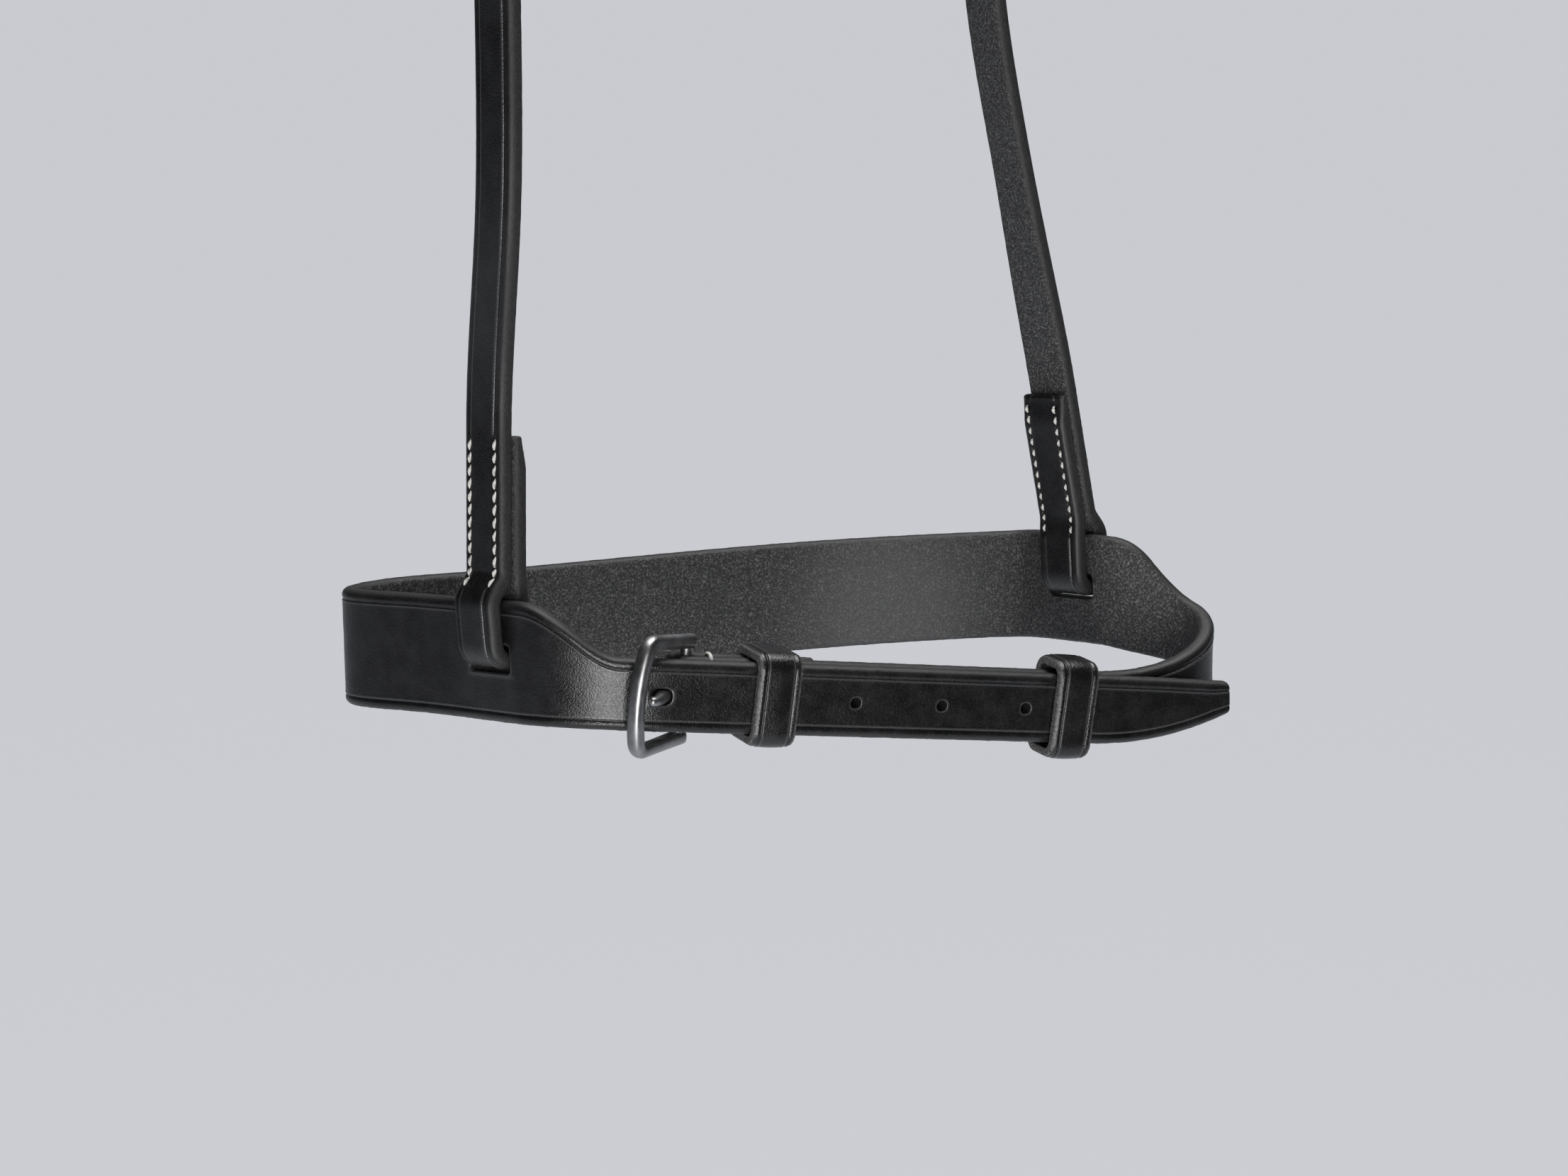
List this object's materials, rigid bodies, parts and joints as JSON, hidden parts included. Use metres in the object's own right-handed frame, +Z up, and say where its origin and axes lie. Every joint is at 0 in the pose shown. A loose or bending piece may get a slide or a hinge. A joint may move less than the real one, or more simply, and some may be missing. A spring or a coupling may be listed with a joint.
{
  "type": "bridle noseband",
  "caption": "Black leather horse noseband hung on its own headstall strap, with slotted cheek loops, buckled jaw strap, keepers and saddle-stitched seams.",
  "frame": {"origin": "middle of the underside of the sliphead's crown, where it lies over the poll", "axes": "+Z up, +Y towards the horse's nose, -X towards the horse's near (left) side, which carries the buckles"},
  "size_m": [0.2252, 0.1266, 0.5004],
  "materials": {
    "black_leather": "satin, fine grain",
    "satin_steel": "satin",
    "waxed_thread": "waxed"
  },
  "bodies": {
    "headstall": {"sliphead_strap": "black_leather", "near_cheek_strap": "black_leather", "near_loop_seam_front": "waxed_thread", "near_loop_seam_rear": "waxed_thread", "off_loop_seam_front": "waxed_thread", "off_loop_seam_rear": "waxed_thread", "cheek_fold_seam_upper": "waxed_thread", "cheek_fold_seam_lower": "waxed_thread", "cheek_fixed_keeper": "black_leather", "cheek_fixed_keeper_stitch": "waxed_thread"},
    "noseband": {"nosepiece": "black_leather", "nose_fold_seam_upper": "waxed_thread", "nose_fold_seam_lower": "waxed_thread", "nose_fixed_keeper": "black_leather", "nose_fixed_keeper_stitch": "waxed_thread"},
    "nose_buckle": {"nose_buckle_frame": "satin_steel"},
    "nose_prong": {"nose_buckle_prong": "satin_steel"},
    "nose_runner": {"nose_runner_keeper": "black_leather", "nose_runner_keeper_stitch": "waxed_thread"},
    "cheek_buckle": {"cheek_buckle_frame": "satin_steel"},
    "cheek_prong": {"cheek_buckle_prong": "satin_steel"},
    "cheek_runner": {"cheek_runner_keeper": "black_leather", "cheek_runner_keeper_stitch": "waxed_thread"}
  },
  "joints": [
    {"name": "noseband_nod", "type": "hinge", "parent": "headstall", "child": "noseband", "pos_m": [-0.09083, 0.00642, -0.45491], "axis": [0.9999, -0.0146, -0.0084], "range_deg": [0, 3]},
    {"name": "nose_buckle_turn", "type": "hinge", "parent": "noseband", "child": "nose_buckle", "pos_m": [-0.05049, -0.01989, -0.46766], "axis": [0.127, -0.0213, 0.9917], "range_deg": [0, 3]},
    {"name": "nose_prong_turn", "type": "hinge", "parent": "nose_buckle", "child": "nose_prong", "pos_m": [-0.05049, -0.01989, -0.46766], "axis": [0.127, -0.0213, 0.9917], "range_deg": [0, 2]},
    {"name": "nose_runner_slide", "type": "slide", "parent": "noseband", "child": "nose_runner", "axis": [0.9781, -0.1637, -0.1288], "range_m": [-0.06, 0]},
    {"name": "cheek_buckle_turn", "type": "hinge", "parent": "headstall", "child": "cheek_buckle", "pos_m": [-0.07827, 0.00111, -0.17491], "axis": [0.1564, -0.9877, 0], "range_deg": [0, 3]},
    {"name": "cheek_prong_turn", "type": "hinge", "parent": "cheek_buckle", "child": "cheek_prong", "pos_m": [-0.07827, 0.00111, -0.17491], "axis": [0.1564, -0.9877, 0], "range_deg": [0, 2]},
    {"name": "cheek_runner_slide", "type": "slide", "parent": "headstall", "child": "cheek_runner", "axis": [-0.0947, -0.015, -0.9954], "range_m": [-0.014, 0.014]}
  ]
}
